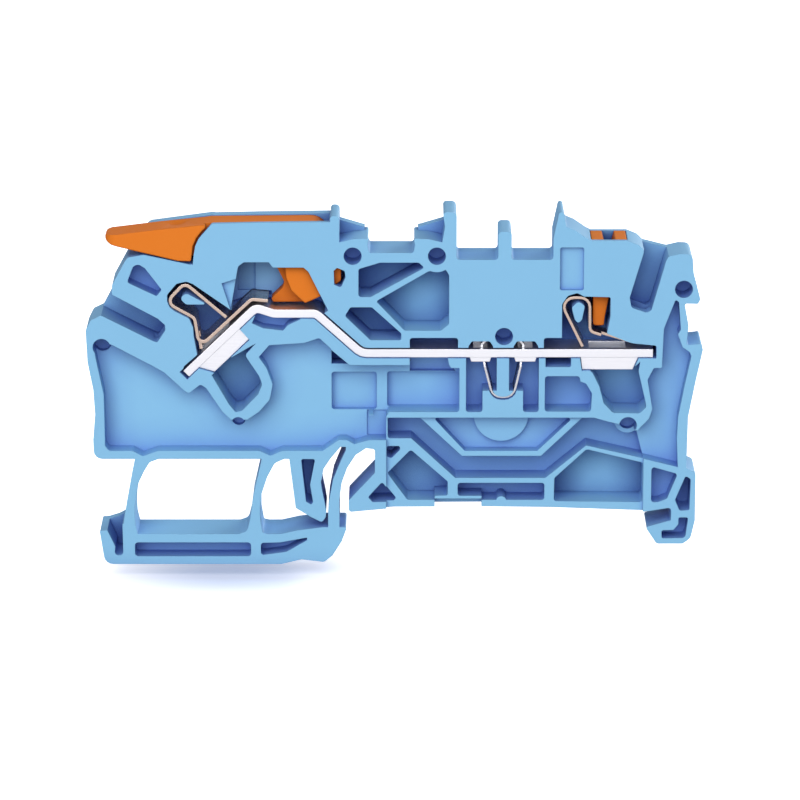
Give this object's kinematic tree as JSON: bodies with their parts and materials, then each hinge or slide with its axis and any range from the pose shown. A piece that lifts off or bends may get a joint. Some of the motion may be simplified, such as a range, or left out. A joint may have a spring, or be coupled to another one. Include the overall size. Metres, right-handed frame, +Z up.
{
  "type": "feed-through terminal block",
  "caption": "Slim rail-mounted wire terminal, open on one side, with a clamping lever, a push button, a bent current bar and jumper slots in a moulded housing",
  "frame": {"origin": "on the rail's centre line, at the rail's upper edge, at the middle of the block's thickness", "axes": "+X along the block from the lever to the push button, +Y through its thickness from the open side to the closed side, +Z up from the rail"},
  "size_m": [0.0651, 0.0052, 0.0388],
  "materials": {
    "blue_polyamide": "fine moulded, satin",
    "orange_polyamide": "fine moulded, satin",
    "tinned_copper": "bright tin plating",
    "spring_steel": "bright rolled strip"
  },
  "bodies": {
    "block": {"housing": "blue_polyamide", "current_bar": "tinned_copper", "left_clamp_spring": "spring_steel", "right_clamp_spring": "spring_steel", "jumper_spring": "spring_steel"},
    "lever": {"lever": "orange_polyamide"},
    "button": {"push_button": "orange_polyamide"}
  },
  "joints": [
    {"name": "lever_hinge", "type": "hinge", "parent": "block", "child": "lever", "pos_m": [-0.0205, 0, 0.02975], "axis": [0, 1, 0], "range_deg": [0, 60], "deforming": ["left_clamp_spring"]},
    {"name": "button_slide", "type": "slide", "parent": "block", "child": "button", "axis": [0, 0, -1], "range_m": [0, 0.0016], "stiffness_N_per_m": 400, "deforming": ["right_clamp_spring"]}
  ]
}
